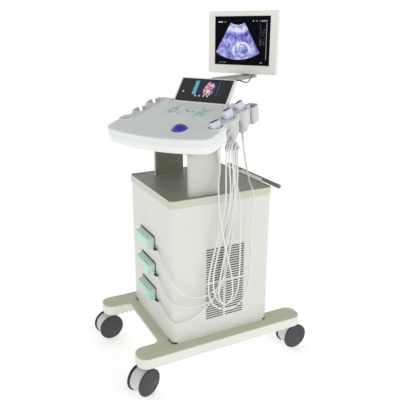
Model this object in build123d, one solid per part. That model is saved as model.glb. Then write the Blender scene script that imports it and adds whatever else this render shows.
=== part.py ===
"""Cart-type ultrasound machine: base on four castors, electronics cabinet, swivelling console,
tilting touch panel, monitor on an arm, three probes with their cables.

Millimetres, +Z up.  The origin is on the floor, under the middle of the machine's outline.
The cabinet stands square to X and Y with its grille on -Y and its probe ports on -X.
The console is modelled about its swivel axis, u to the operator's right and y to the rear,
and is then turned by console_yaw; its deck is a plane that rises to the rear by deck_slope.
"""
from build123d import *
import math
import os

os.makedirs("parts", exist_ok=True)

# ---- driving dimensions ----------------------------------------------------------------------
cabinet_x, cabinet_y = -13.5, -60.7          # cabinet centre in the machine's frame

# base
wheel_radius = 62.5
disc_thickness = 11.0
disc_face = 42.5                           # castor centre to the outer face of a disc
castor_trail = 35.0
castor_axis_x, castor_axis_y = 365.0, 246.0
trail_headings = (204.0, 187.0, 1.0, 12.0)   # direction from swivel axis to wheel, degrees
stem_radius = 6.0
running_gap = 0.06                         # radial clearance of a turning fit
beam_length, beam_width, beam_height = 844.0, 108.0, 50.0
beam_corner = 46.0
base_top = 183.0
plate_front, plate_rear, plate_thickness = -294.0, 247.5, 12.0
plate_seat = 12.0                          # width of the step that carries the plate
plate_flare = 21.0

# cabinet
body_x, body_y = 495.0, 489.0
body_top = 821.0
wall = 4.0
corner_radius = 22.0
tray_x, tray_y, tray_height = 500.0, 494.0, 33.0
tray_top = body_top + tray_height
tray_recess = 4.0
slot_pitch, slot_height = 11.7, 6.4
slot_columns = ((-82.0, 6.0), (17.0, 110.0))
slot_groups = ((267.0, 15), (452.0, 14))   # height of the lowest slot, number of slots
port_heights = (600.0, 472.0, 342.0)
port_y = 28.0
port_length, port_tall, port_deep = 166.0, 56.0, 32.0
gland_out, gland_down = 9.0, 12.0            # cable gland from the wall, and below the port's middle
gland_length = 18.0
fan_x, fan_z = 14.0, 442.0
fan_size, fan_depth = 180.0, 38.0
handle_radius, handle_reach, handle_length = 9.5, 45.0, 464.0
screw_radius = 2.0
screw_heights = (222.0, 404.0, 588.0, 770.0)

# console supports
post_x0, post_x1 = -148.0, 0.0
post_thickness = 26.0
post_right_y, post_left_y = -214.0, 158.0  # low-Y face of each post
post_top = 1026.0
post_pad = 1.0                             # raised pad under each post, on the tray's floor
bridge_thickness = 12.0
bridge_top = post_top + bridge_thickness
swivel_seat = 1050.0                       # height where the console turns on the bridge

# console
pivot_x, pivot_y = -75.0, 0.0              # swivel axis from the cabinet centre
console_yaw = -59.0
deck_height = 1169.3                       # deck plane above the floor, on the swivel axis
deck_slope = 13.8
shell_depth, base_depth = 36.0, 29.0       # upper and lower console mouldings
shell_wall = 3.5
deck_front, deck_crown, deck_rear = -221.0, -264.0, 160.0
deck_half, wing_inner = 268.0, 192.0
wing_front = -94.0
cup_u = 232.0
cup_rows = (-112.0, -6.0, 99.0)            # the first cup is moulded into the deck
cup_outer, cup_bore, cup_depth = 36.0, 29.0, 100.0
front_cup_outer = 33.0
cup_exit, front_cup_exit = 11.0, 19.0
slot_turn = 50.0                           # cable slot, from straight outboard towards the rear
spare_u, spare_t = 238.0, 184.0            # middle of the open holder behind the right-hand cups
spare_long, spare_wide, spare_top, spare_low = 58.0, 54.0, -14.0, -92.0
hook_u0, hook_u1, hook_y = 252.0, 292.0, -40.0
hook_z, hook_radius = 1051.0, 17.0         # axis height and radius of the cable saddle
ball_u, ball_t, ball_radius, ball_drop = 90.0, -164.0, 37.0, 14.0
ball_gap = 0.4

# touch panel
lcd_hinge_y, lcd_hinge_z = 137.7, 1191.5
lcd_lean = 38.4                            # degrees back from upright
lcd_width, lcd_height, lcd_thickness = 292.0, 134.0, 22.0
lcd_pocket_half, lcd_pocket_front, lcd_pocket_depth = 158.0, 120.0, 27.0
lcd_button_places = ((-108.0, 57.0), (-34.0, 37.3), (-12.5, 37.3), (10.0, 37.3), (31.0, 37.3))

# monitor
monitor_y, monitor_z = 531.0, 1456.0       # middle of the front face
monitor_width, monitor_height, monitor_depth = 388.0, 304.0, 46.0
screen_width, screen_height = 314.0, 238.0
screen_up = 9.5                            # screen centre above the monitor's
bezel_depth = 20.0
tilt_y, tilt_z = 604.0, 1440.0
arm_top = 1296.0
arm_thickness = 14.0
arm_u = 8.0

# probes and cables
probe_turns = (-15.0, -9.0, -3.0)          # each head turned about its own axis
probe_rests = (-10.0, 0.0, -5.0)           # height of each probe in its cup
lens_long, lens_wide = 43.0, 9.0
cable_diameter, signal_diameter = 7.0, 6.0


# ---- placing ---------------------------------------------------------------------------------
CABINET = Pos(cabinet_x, cabinet_y, 0)
CONSOLE = CABINET * Pos(pivot_x, pivot_y, 0) * Rot(0, 0, console_yaw)
DECK = CONSOLE * Pos(0, 0, deck_height) * Rot(deck_slope, 0, 0)
LCD = CONSOLE * Pos(0, lcd_hinge_y, lcd_hinge_z) * Rot(-lcd_lean, 0, 0)
MONITOR = CONSOLE * Pos(0, monitor_y, monitor_z)


def save(shape, name):
    """Write one node."""
    shape.label = name
    export_step(shape, f"parts/{name}.step")


def block(x0, x1, y0, y1, z0, z1):
    """Box between two corners."""
    return Pos((x0 + x1) / 2, (y0 + y1) / 2, (z0 + z1) / 2) * Box(x1 - x0, y1 - y0, z1 - z0)


def rounded_block(x, y, radius, z0, z1):
    """Upright box on the Z axis with rounded vertical edges."""
    return Pos(0, 0, z0) * extrude(RectangleRounded(x, y, radius), z1 - z0)


def rod(radius, z0, z1):
    """Cylinder on the Z axis."""
    return Pos(0, 0, (z0 + z1) / 2) * Cylinder(radius, z1 - z0)


def rod_x(radius, x0, x1):
    """Cylinder on the X axis."""
    return Pos((x0 + x1) / 2, 0, 0) * Rot(0, 90, 0) * Cylinder(radius, x1 - x0)


def rod_y(radius, y0, y1):
    """Cylinder on the Y axis."""
    return Pos(0, (y0 + y1) / 2, 0) * Rot(90, 0, 0) * Cylinder(radius, y1 - y0)


def joined(shapes):
    """Fuse a list of shapes into one."""
    return shapes[0].fuse(*shapes[1:]) if len(shapes) > 1 else shapes[0]


def group(shapes):
    """Keep a list of solids apart in one node."""
    return Compound([solid for shape in shapes for solid in shape.solids()])


# ---- base ------------------------------------------------------------------------------------
def castor_places():
    """Swivel axis and trail heading of each castor: front right, front left, rear right, rear left."""
    corners = ((-1, -1), (-1, 1), (1, -1), (1, 1))
    return [(i * castor_axis_x, j * castor_axis_y, heading)
            for (i, j), heading in zip(corners, trail_headings)]


def platform_outline():
    """Plan of the plate: a rectangle whose two seated edges run out to a flare at the front."""
    inner = 193.0
    middle, length = (plate_front + plate_rear) / 2, plate_rear - plate_front
    plan = Pos(middle, 0) * Rectangle(length, 2 * inner)
    seat_front = plate_front - plate_flare - 3
    for side in (-1, 1):
        plan += Pos((seat_front + plate_rear) / 2, side * (inner + plate_seat / 2)) * Rectangle(
            plate_rear - seat_front, plate_seat)
    notches = [v for v in plan.vertices()
               if abs(v.X - plate_front) < 1 and abs(abs(v.Y) - inner) < 1]
    return fillet(notches, plate_flare)


def make_platform_plate():
    return Pos(0, 0, base_top - plate_thickness) * extrude(platform_outline(), plate_thickness)


def make_base_beams():
    beams = []
    plate = make_platform_plate()
    for side in (-1, 1):
        beam = rounded_block(beam_length, beam_width, beam_corner, base_top - beam_height, base_top)
        beam = fillet(beam.edges().group_by(Axis.Z)[-1] + beam.edges().group_by(Axis.Z)[0], 5)
        beam = Pos(0, side * 247, 0) * beam
        for x, y, _ in castor_places():
            if y * side > 0:
                beam -= Pos(x, y, 0) * rod(stem_radius, base_top - beam_height - 1, base_top - 8)
        beams.append(beam - plate)
    return group(beams)


def make_castor_stems():
    """Steel stems pressed into the beams, each with a thrust washer flange."""
    under = base_top - beam_height
    stem = rod(stem_radius, 74, base_top - 8) + rod(20, under - 2, under)
    return group([Pos(x, y, 0) * stem for x, y, _ in castor_places()])


def castor_place(index):
    x, y, heading = castor_places()[index]
    return CABINET * Pos(x, y, 0) * Rot(0, 0, heading)


def make_castor_hood(index):
    """Hood between the discs, with the swivel socket in front of the axle."""
    body = Pos(castor_trail, 0, wheel_radius) * rod_y(56, -31, 31)
    body = fillet(body.edges(), 4)
    socket = rod(16, wheel_radius, base_top - beam_height - 2.6)
    hood = body + socket
    hood -= rod(stem_radius + running_gap, 72, 140)
    hood -= Pos(castor_trail, 0, wheel_radius) * rod_y(stem_radius + running_gap, -40, 40)
    return castor_place(index) * hood


def make_castor_wheels(index):
    """Two tyred discs pressed on one axle."""
    parts = [rod_y(stem_radius, -disc_face + 2, disc_face - 2)]
    for side in (-1, 1):
        disc = rod_y(wheel_radius, disc_face - disc_thickness, disc_face)
        disc = fillet(disc.edges().filter_by(GeomType.CIRCLE).sort_by(Axis.Y)[-1], 3.5)
        disc -= rod_y(stem_radius, disc_face - disc_thickness - 1, disc_face - 2)
        parts.append(disc if side > 0 else Rot(0, 0, 180) * disc)
    return castor_place(index) * Pos(castor_trail, 0, wheel_radius) * group(parts)


# ---- cabinet ---------------------------------------------------------------------------------
def vent_slots():
    cutters = []
    for x0, x1 in slot_columns:
        for z0, count in slot_groups:
            for row in range(count):
                z = z0 + row * slot_pitch
                cutters.append(block(x0, x1, -body_y / 2 - 1, -body_y / 2 + wall + 1, z, z + slot_height))
    return cutters


def screw_places():
    """Where the rear panel's screws meet the wall's outer face."""
    return [Pos(body_x / 2, side * 201, z) for side in (-1, 1) for z in screw_heights]


def make_cabinet_shell():
    """Sheet housing, open at the top and with a service opening at the rear."""
    outer = rounded_block(body_x, body_y, corner_radius, base_top, body_top)
    inner = rounded_block(body_x - 2 * wall, body_y - 2 * wall, corner_radius - wall,
                          base_top + wall, body_top + 1)
    shell = outer - inner
    shell -= block(body_x / 2 - 20, body_x / 2 + 1, -190, 190, 212, 770)
    for z in port_heights:
        shell -= block(-body_x / 2 - 1, -body_x / 2 + 20, port_y - 62, port_y + 62, z - 17, z + 17)
    threads = [place * rod_x(screw_radius, -8, 4) for place in screw_places()]
    return shell.cut(*vent_slots()).cut(*threads)


def make_vent_filter():
    """Dark dust filter behind the slots."""
    inside = -body_y / 2 + wall
    return block(-92, 120, inside, inside + 3, 258, 622)


def make_fan_housing():
    """Square frame with an open duct, three struts and a motor boss."""
    y0 = -body_y / 2 + wall + 3
    frame = Box(fan_size, fan_depth, fan_size) - rod_y(85, -fan_depth, fan_depth)
    boss = rod_y(22, fan_depth / 2 - 8, fan_depth / 2) + rod_y(3, -fan_depth / 2 + 4, fan_depth / 2)
    struts = [Rot(0, a, 0) * block(10, 88, fan_depth / 2 - 8, fan_depth / 2, -4, 4) for a in (30, 150, 270)]
    return Pos(fan_x, y0 + fan_depth / 2, fan_z) * joined([frame, boss] + struts)


def make_fan_rotor():
    """Seven blades on a hub that turns on the motor pin."""
    y0 = -body_y / 2 + wall + 3
    hub = rod_y(24, -fan_depth / 2 + 4, fan_depth / 2 - 9)
    blades = [Rot(0, k * 360 / 7, 0) * Pos(51, -2, 0) * Rot(35, 0, 0) * Box(62, 2.4, 26) for k in range(7)]
    rotor = joined([hub] + blades) - rod_y(3 + running_gap, -30, 30)
    return Pos(fan_x, y0 + fan_depth / 2, fan_z) * rotor


def make_power_supply():
    """Folded metal box on the cabinet floor."""
    return block(20, 200, 20, 200, base_top + wall, base_top + wall + 120)


def make_card_cage():
    """Open cage of circuit boards: two end plates, a backplane and nine boards."""
    z0, z1 = base_top + wall, 640
    plates = [block(-200, -20, y, y + 2, z0, z1) for y in (-120, 218)]
    backplane = block(-203, -200, -120, 220, z0, z1)
    boards = [block(-200, -30, y, y + 1.8, z0 + 30, z1 - 60) for y in range(-90, 191, 35)]
    rails = [block(-200, -20, -118, 218, z, z + 4) for z in (z0, z0 + 26)]
    return joined([backplane] + plates + boards + rails)


def make_probe_ports():
    """Socket housings behind the front wall, each with a flange on the wall's outer face."""
    sockets = []
    face = -body_x / 2
    for z in port_heights:
        flange = block(face - 2, face, port_y - 88, port_y + 88, z - 36, z + 36)
        flange = fillet(flange.edges().filter_by(Axis.X), 8)
        body = block(face, face + 40, port_y - 62, port_y + 62, z - 17, z + 17)
        cavity = block(face - 3, face + 14, port_y - 55, port_y + 55, z - 11, z + 11)
        sockets.append(flange + body - cavity)
    return group(sockets)


def make_probe_connectors():
    """Three plug housings with a tapered front and a plug nose that fills the socket."""
    face = -body_x / 2 - 2
    plugs = []
    for z in port_heights:
        base = Pos(face, port_y, z) * Rot(0, -90, 0) * RectangleRounded(port_tall, port_length, 9)
        front = Pos(face - port_deep, port_y, z - 2) * Rot(0, -90, 0) * RectangleRounded(
            port_tall - 10, port_length - 14, 7)
        housing = loft([base, front])
        nose = block(face, face + 15.5, port_y - 54.9, port_y + 54.9, z - 10.9, z + 10.9)
        gland = Pos(-body_x / 2 - gland_out, port_y - port_length / 2, z - gland_down) * rod_y(5.5, -gland_length, 8)
        plugs.append(housing + nose + gland)
    return group(plugs)


def make_rear_panel():
    panel = block(body_x / 2, body_x / 2 + 2.5, -212, 212, 204, 788)
    panel = fillet(panel.edges().filter_by(Axis.X), 10)
    panel -= block(body_x / 2 - 1, body_x / 2 + 4, -182, -138, 218, 292)
    vents = [block(body_x / 2 - 1, body_x / 2 + 4, -130, 130, z, z + 6) for z in range(560, 701, 20)]
    holes = [place * rod_x(screw_radius + 0.25, -1, 4) for place in screw_places()]
    return panel.cut(*vents).cut(*holes)


def make_panel_screws():
    """Eight pan-head screws with a cross recess that hold the rear panel to the wall."""
    head = rod_x(4, 2.5, 4.9)
    head = fillet(head.edges().group_by(Axis.X)[-1], 1.2)
    head -= block(3.9, 6, -0.5, 0.5, -2.4, 2.4) + block(3.9, 6, -2.4, 2.4, -0.5, 0.5)
    screw = head + rod_x(screw_radius, -5.5, 2.5)
    return group([place * screw for place in screw_places()])


def make_mains_inlet():
    """Inlet module on the rear panel: appliance socket with three pins, and the switch's frame."""
    face = body_x / 2 + 2.5
    flange = fillet(block(face, face + 3, -188, -132, 212, 298).edges().filter_by(Axis.X), 4)
    body = block(face - 32, face, -181, -139, 219, 291)
    socket = block(face - 24, face + 4, -173.5, -146.5, 226, 246)
    window = block(face - 18, face + 4, -167.5, -152.5, 256, 284)
    module = (flange + body) - socket - window
    pins = [block(face - 26, face - 8, y - 1, y + 1, 234, 238) for y in (-168, -160, -152)]
    axle = Pos(face - 6, -160, 270) * rod_y(1.5 + running_gap, -10, 10)
    return joined([module - axle] + pins)


def make_power_switch():
    """Rocker with its two stub pins."""
    face = body_x / 2 + 2.5
    rocker = Pos(face - 6, -160, 270) * (Box(13, 13.6, 23) + rod_y(1.5, -8.6, 8.6))
    return fillet(rocker.edges().filter_by(Axis.Y).group_by(Axis.X)[-1], 2)


def make_top_tray():
    """Cap of the cabinet with a shallow recess on top."""
    tray = rounded_block(tray_x, tray_y, corner_radius + 2, body_top, tray_top)
    tray = fillet(tray.edges().group_by(Axis.Z)[-1], 1.6)
    tray -= rounded_block(tray_x - 11, tray_y - 11, corner_radius - 4, tray_top - tray_recess, tray_top + 1)
    tray -= rounded_block(tray_x - 24, tray_y - 24, corner_radius - 8, body_top - 1, tray_top - 12)
    floor = tray_top - tray_recess
    for y0 in (post_right_y, post_left_y):
        tray += block(post_x0 - 1, post_x1 + 1, y0 - 1, y0 + post_thickness + 1, floor - 2, floor + post_pad)
    return tray


def make_corner_pads():
    """Black rubber edging where the cabinet's corners stand on the beams."""
    pads = []
    for i in (-1, 1):
        for j in (-1, 1):
            ring = rounded_block(body_x + 2.4, body_y + 2.4, corner_radius + 1.2, base_top, base_top + 7)
            ring -= rounded_block(body_x, body_y, corner_radius, base_top - 1, base_top + 8)
            pads.append(ring & Pos(i * body_x / 2, j * body_y / 2, base_top) * Box(44, 100, 60))
    return group(pads)


def make_rear_handle():
    bar = Pos(tray_x / 2 + handle_reach, 0, tray_top - 10) * rod_y(
        handle_radius, -handle_length / 2, handle_length / 2)
    return fillet(bar.edges().filter_by(GeomType.CIRCLE), 3)


def make_handle_bracket():
    """Central bracket from the tray's rear edge to the bar."""
    centre = tray_x / 2 + handle_reach
    bracket = block(tray_x / 2, centre, -105, 80, tray_top - 16, tray_top - 4)
    return bracket - make_rear_handle()


# ---- console supports ------------------------------------------------------------------------
def make_support_posts():
    posts = []
    for y0 in (post_right_y, post_left_y):
        seat = tray_top - tray_recess + post_pad
        post = block(post_x0, post_x1, y0, y0 + post_thickness, seat, post_top)
        rear = post.edges().filter_by(Axis.Z).group_by(Axis.X)[-1]
        post = fillet(rear, 12)
        post = fillet(post.edges().filter_by(Axis.Z).group_by(Axis.X)[0], 9)
        posts.append(post)
    return group(posts)


def make_pivot_bridge():
    """Plate across both posts with the raised seat of the console's swivel."""
    left = post_left_y + post_thickness
    plate = block(post_x0, post_x1, post_right_y, left, post_top, bridge_top)
    plate = fillet(plate.edges().filter_by(Axis.Z), 24)
    seat = Pos(pivot_x, pivot_y, 0) * rod(66, bridge_top, swivel_seat)
    return plate + seat - Pos(pivot_x, pivot_y, 0) * rod(20 + running_gap, post_top - 1, swivel_seat + 1)


def below_deck(depth, size=900.0, height=400.0):
    """Everything lower than a plane parallel to the deck, in the console's frame."""
    cut = Pos(0, 0, deck_height) * Rot(deck_slope, 0, 0) * Pos(0, 0, -depth - height / 2)
    return cut * Box(size, size, height)


def make_pivot_column():
    """Turned column under the console, with the spigot that turns in the bridge."""
    column = rod(58, swivel_seat, deck_height) + rod(20, post_top - 4, swivel_seat)
    column += rod(26, post_top - 8, post_top - 1)
    return CONSOLE * (column & below_deck(shell_depth + base_depth, height=500))


# ---- console ---------------------------------------------------------------------------------
def half_wing(u0, u1, t0, t1):
    return Pos((u0 + u1) / 2, (t0 + t1) / 2) * Rectangle(u1 - u0, t1 - t0)


def deck_plan():
    """Plan of the console's upper moulding, without the two holder wings."""
    side = deck_half
    with_front = [Line((-side, wing_front), (-side, deck_front)),
                  ThreePointArc((-side, deck_front), (0, deck_crown), (side, deck_front)),
                  Line((side, deck_front), (side, wing_front)),
                  Line((side, wing_front), (wing_inner, wing_front)),
                  Line((wing_inner, wing_front), (wing_inner, deck_rear)),
                  Line((wing_inner, deck_rear), (-wing_inner, deck_rear)),
                  Line((-wing_inner, deck_rear), (-wing_inner, wing_front)),
                  Line((-wing_inner, wing_front), (-side, wing_front))]
    plan = make_face(with_front)
    front = [v for v in plan.vertices() if v.Y < deck_front + 5]
    return fillet(front, 46)


def wing_plan(rows):
    """Plan of a right-hand holder wing: a strip with a lobe round each cup."""
    plan = half_wing(wing_inner, cup_u + 16, wing_front, deck_rear)
    for row in rows:
        plan += Pos(cup_u, row) * RectangleRounded(2 * cup_outer, 2 * cup_outer, 24)
    return plan - Pos(cup_u, cup_rows[0]) * Circle(front_cup_outer + 0.2)


def pocket():
    """Recess at the rear of the deck for the touch panel's foot, in the deck's frame."""
    return block(-lcd_pocket_half, lcd_pocket_half, lcd_pocket_front, deck_rear + 1, -lcd_pocket_depth, 1)


def make_console_top_shell():
    plan = deck_plan()
    outer = Pos(0, 0, -shell_depth) * extrude(plan, shell_depth)
    rim = [e for e in outer.edges().group_by(Axis.Z)[-1] if e.center().Y < wing_front - 1]
    outer = fillet(rim, 7)
    inside = Pos(0, 0, -shell_depth) * extrude(offset(plan, -shell_wall, kind=Kind.INTERSECTION),
                                               shell_depth - shell_wall)
    walls = block(-lcd_pocket_half - shell_wall, lcd_pocket_half + shell_wall,
                  lcd_pocket_front - shell_wall, deck_rear, -lcd_pocket_depth - shell_wall, 0)
    shell = outer - inside + (walls & outer) - pocket()
    shell -= Pos(ball_u, ball_t, 0) * rod(39.5, -shell_depth - 1, 1)
    for side in (-1, 1):
        place = Pos(side * cup_u, cup_rows[0], 0)
        rim = fillet(rod(front_cup_outer, -4, 5).edges().group_by(Axis.Z)[-1], 1.8)
        shell += place * (rod(front_cup_outer, -shell_depth - base_depth, 0) + rim)
        shell -= place * front_cup_cavity()
    return DECK * shell


def front_cup_cavity():
    """Inside of a front cup: a straight bore that narrows to its open bottom."""
    low = -shell_depth - base_depth
    taper = Pos(0, 0, (low - 40) / 2) * Rot(180, 0, 0) * Cone(cup_bore, front_cup_exit, -low - 40)
    return rod(cup_bore, -40, 8) + taper + rod(front_cup_exit, low - 1, -41)


def make_console_base_shell():
    """Lower moulding: a tray that closes the console from below and carries the trackball's cup."""
    plan = deck_plan()
    low, high = -shell_depth - base_depth, -shell_depth
    outer = Pos(0, 0, low) * extrude(plan, base_depth)
    outer = fillet([e for e in outer.edges().group_by(Axis.Z)[0] if e.center().Y < wing_front - 1], 7)
    inside = Pos(0, 0, low + shell_wall) * extrude(offset(plan, -shell_wall, kind=Kind.INTERSECTION),
                                                   base_depth)
    cup = Pos(ball_u, ball_t, 0) * rod(40.5, low + 1, high + 2)
    cup -= Pos(ball_u, ball_t, -ball_drop) * Sphere(ball_radius + ball_gap)
    shell = (outer - inside) + cup
    for side in (-1, 1):
        shell -= Pos(side * cup_u, cup_rows[0], 0) * rod(front_cup_outer + 0.2, low - 1, high + 1)
    return DECK * shell


def cup_body(row):
    """Outside of a cup: a squared pod that draws in to a blunt tip."""
    plans = [(0.0, 2 * cup_outer, 24.0), (-60.0, 2 * cup_outer - 3, 21.0), (-cup_depth, 42.0, 14.0)]
    pod = loft([Pos(0, 0, w) * RectangleRounded(size, size, r) for w, size, r in plans], ruled=True)
    return Pos(cup_u, row, 0) * pod


def cup_cavity(row):
    """Inside of a probe cup, its cable hole and the side slot that the cable leaves by."""
    straight = 60.0
    bore = rod(cup_bore, -straight, 8)
    taper = Pos(0, 0, -(straight + cup_depth - 6) / 2) * Rot(180, 0, 0) * Cone(
        cup_bore, 12, cup_depth - 6 - straight)
    hole = rod(cup_exit, -cup_depth - 1, 0)
    slot = Rot(0, 0, slot_turn) * block(0, cup_outer + 14, -7, 7, -cup_depth - 1, 8)
    return Pos(cup_u, row, 0) * (bore + taper + hole + slot)


def holder_wing(rows):
    """Right-hand wing with its cups, in the deck's frame."""
    wing = Pos(0, 0, -shell_depth) * extrude(wing_plan(rows), shell_depth)
    wing -= Pos(0, 0, -shell_depth) * extrude(
        half_wing(wing_inner + shell_wall, cup_u + 12.5, wing_front + 32, deck_rear - shell_wall),
        shell_depth - shell_wall)
    rims = [Pos(cup_u, row, 0) * fillet(rod(cup_outer - 1, -4, 4).edges().group_by(Axis.Z)[-1], 2.4)
            for row in rows]
    wing = joined([wing] + [cup_body(row) for row in rows] + rims)
    return wing.cut(*[cup_cavity(row) for row in rows])


def spare_holder():
    """Open square holder behind the right-hand cups, set a little below the deck."""
    middle = Pos(spare_u, spare_t, 0)
    outer = rounded_block(spare_wide, spare_long, 14, spare_low, spare_top)
    outer = fillet(outer.edges().group_by(Axis.Z)[0], 8)
    outer = fillet(outer.edges().group_by(Axis.Z)[-1], 1.5)
    inner = rounded_block(spare_wide - 8, spare_long - 8, 10.5, spare_low + 5, spare_top + 1)
    return middle * outer, middle * inner


def make_holder_wing_right():
    outer, inner = spare_holder()
    return DECK * ((holder_wing(cup_rows[1:]) + outer) - inner)


def make_holder_wing_left():
    return DECK * mirror(holder_wing(cup_rows[1:]), Plane.YZ)


def make_keypad_overlay():
    overlay = Pos(13, 30, 0) * extrude(RectangleRounded(212, 98, 8), 0.8)
    return DECK * overlay


def make_trackball_ring():
    ring = Pos(ball_u, ball_t, 0) * (rod(42, 0, 2.4) + rod(39.5, -12, 0))
    ring = fillet(ring.edges().group_by(Axis.Z)[-1], 1.6)
    return DECK * (ring - Pos(ball_u, ball_t, -ball_drop) * Sphere(ball_radius + ball_gap) -
                   Pos(ball_u, ball_t, 0) * rod(34.6, -6, 4))


def make_trackball():
    return DECK * Pos(ball_u, ball_t, -ball_drop) * Sphere(ball_radius)


def make_cable_hook():
    """Saddle outboard of the holder wing that carries the three cables side by side."""
    axis = Pos(0, hook_y, hook_z)
    upper = block(hook_u0 - 10, hook_u1 + 10, hook_y - 40, hook_y + 40, hook_z - 4, hook_z + 40)
    saddle = (axis * (rod_x(hook_radius, hook_u0, hook_u1) - rod_x(hook_radius - 3.5, hook_u0, hook_u1))) & upper
    lip = (axis * (rod_x(hook_radius + 5, hook_u1, hook_u1 + 2.5) -
                   rod_x(hook_radius - 3.5, hook_u1, hook_u1 + 2.5))) & upper
    root = axis * rod_x(hook_radius, hook_u0 - 6, hook_u0)
    stem = block(hook_u0 - 6, hook_u0, hook_y - 5, hook_y + 5, hook_z, 1200)
    stem &= below_deck(40)
    foot = block(cup_u - 6, hook_u0, -53, -36, -56, -40)
    foot -= holder_wing(cup_rows[1:])
    foot = Pos(0, 0, deck_height) * Rot(deck_slope, 0, 0) * foot
    return CONSOLE * joined([saddle, lip, root, stem, foot])


# ---- touch panel -----------------------------------------------------------------------------
def make_lcd_housing():
    """Panel housing that ends in a round foot on the hinge axis; y is its back, z runs up it."""
    half = lcd_thickness / 2
    body = block(-lcd_width / 2, lcd_width / 2, -half, half, 0, lcd_height)
    body = fillet(body.edges().filter_by(Axis.Y).group_by(Axis.Z)[-1], 7)
    body = fillet(body.edges().filter_by(Axis.X).group_by(Axis.Y)[-1].group_by(Axis.Z)[-1], 6)
    foot = rod_x(half, -lcd_width / 2, lcd_width / 2)
    housing = body + foot
    housing -= rod_x(3 + running_gap, -lcd_width / 2 - 1, lcd_width / 2 + 1)
    housing -= block(-138, 138, -half - 1, -half + 2.5, 6, 130)
    for u, z in lcd_button_places:
        housing -= Pos(u, 0, z) * rod_y(4.3, -half - 1, -half + 9)
    return LCD * housing


def make_lcd_glass():
    half = lcd_thickness / 2
    glass = block(-137.6, 137.6, -half - 0.5, -half + 2.4, 6.4, 129.6)
    for u, z in lcd_button_places:
        glass -= Pos(u, 0, z) * rod_y(4.3, -half - 2, -half + 4)
    return LCD * glass


def make_lcd_button(u, z):
    half = lcd_thickness / 2
    cap = rod_y(4.0, -half - 3.5, -half + 6)
    cap = fillet(cap.edges().group_by(Axis.Y)[0], 1.2)
    return LCD * Pos(u, 0, z) * cap


# ---- display arm and monitor -----------------------------------------------------------------
def arm_half_width(y):
    """Half width of the arm, which narrows towards the monitor."""
    return 61.0 - max(0.0, y - 370.0) * 0.078


def make_display_arm():
    """Arm that rises behind the touch panel and runs back under the monitor.

    Its root bar lies on the console's rear wall and its two ears carry the touch panel's
    hinge pins.
    """
    low = arm_top - arm_thickness
    side = [(170.5, 1150), (196, 1176), (262, 1192), (300, 1214), (338, low), (644, low),
            (644, arm_top), (326, arm_top), (284, 1228), (254, 1208), (161, 1190)]
    profile = make_face(Polyline([(0, y, z) for y, z in side], close=True))
    half = arm_half_width(0)
    end = arm_half_width(644)
    arm = Pos(arm_u - half, 0, 0) * extrude(profile, 2 * half, dir=(1, 0, 0))
    plan = make_face(Polyline([(-half, 140), (-half, 370), (-end, 644), (end, 644), (half, 370),
                               (half, 140)], close=True))
    plan = fillet([v for v in plan.vertices() if v.Y > 600], 36)
    arm &= Pos(arm_u, 0, 1100) * extrude(plan, 300)
    gland = Pos(arm_u, 345, arm_top - arm_thickness / 2) * rod_x(4.5, half - 2, half + 8)
    wide, inner = lcd_pocket_half - 0.5, lcd_width / 2 + 1
    hinge_t, hinge_w = 139.0, -11.3
    root = [block(-wide, wide, deck_rear, deck_rear + 6, -lcd_pocket_depth, -16),
            block(arm_u - half, arm_u + half, deck_rear, deck_rear + 14, -56, -16)]
    for side in (-1, 1):
        low_u, high_u = sorted((side * inner, side * wide))
        pin = sorted((side * (inner - 16), side * wide))
        root.append(Pos(0, hinge_t, hinge_w) * rod_x(9, low_u, high_u))
        root.append(Pos(0, hinge_t, hinge_w) * rod_x(3, *pin))
        root.append(block(low_u, high_u, hinge_t, deck_rear + 6, hinge_w - 9, hinge_w - 3))
    root = Pos(0, 0, deck_height) * Rot(deck_slope, 0, 0) * joined(root)
    return CONSOLE * joined([arm, gland, root])


def make_monitor_yoke():
    """Column that swivels on the arm's end, with the hinge block of the monitor's tilt."""
    column = rod(19, arm_top, tilt_z - 20) + rod(30, arm_top, arm_top + 8)
    block_top = Pos(0, 0, tilt_z) * rod_x(16, -30, 30) + block(-22, 22, -16, 16, tilt_z - 34, tilt_z)
    pin = Pos(0, 0, tilt_z) * rod_x(5, -46, 46)
    gland = Pos(0, 0, 1342) * rod_x(4.5, 12, 30)
    return CONSOLE * Pos(0, tilt_y, 0) * joined([column, block_top, pin, gland])


def make_monitor_back():
    """Rear casing with two hinge cheeks."""
    half_w, half_h = monitor_width / 2, monitor_height / 2
    base = Pos(0, bezel_depth, 0) * Rot(-90, 0, 0) * RectangleRounded(
        monitor_width - 24, monitor_height - 24, 8)
    rear = Pos(0, monitor_depth, 0) * Rot(-90, 0, 0) * RectangleRounded(
        monitor_width - 90, monitor_height - 80, 16)
    case = loft([base, rear])
    hollow = block(-half_w + 20, half_w - 20, bezel_depth - 1, bezel_depth + 3, -half_h + 20, half_h - 20)
    case -= hollow
    dy, dz = tilt_y - monitor_y, tilt_z - monitor_z
    for side in (-1, 1):
        cheek = block(31, 43, monitor_depth - 2, dy, dz - 16, dz + 16)
        cheek += Pos(0, dy, dz) * rod_x(16, 31, 43)
        case += cheek if side > 0 else mirror(cheek, Plane.YZ)
    return MONITOR * (case - Pos(0, dy, dz) * rod_x(5 + running_gap, -60, 60))


def make_monitor_bezel():
    half_w, half_h = monitor_width / 2, monitor_height / 2
    frame = block(-half_w, half_w, 0, bezel_depth, -half_h, half_h)
    frame = fillet(frame.edges().filter_by(Axis.Y), 8)
    frame = fillet(frame.edges().group_by(Axis.Y)[0], 2.5)
    window = block(-screen_width / 2, screen_width / 2, -1, bezel_depth + 1,
                   screen_up - screen_height / 2, screen_up + screen_height / 2)
    return MONITOR * (frame - window)


def make_monitor_screen():
    glass = block(-screen_width / 2, screen_width / 2, 3, bezel_depth,
                  screen_up - screen_height / 2, screen_up + screen_height / 2)
    return MONITOR * glass


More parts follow.
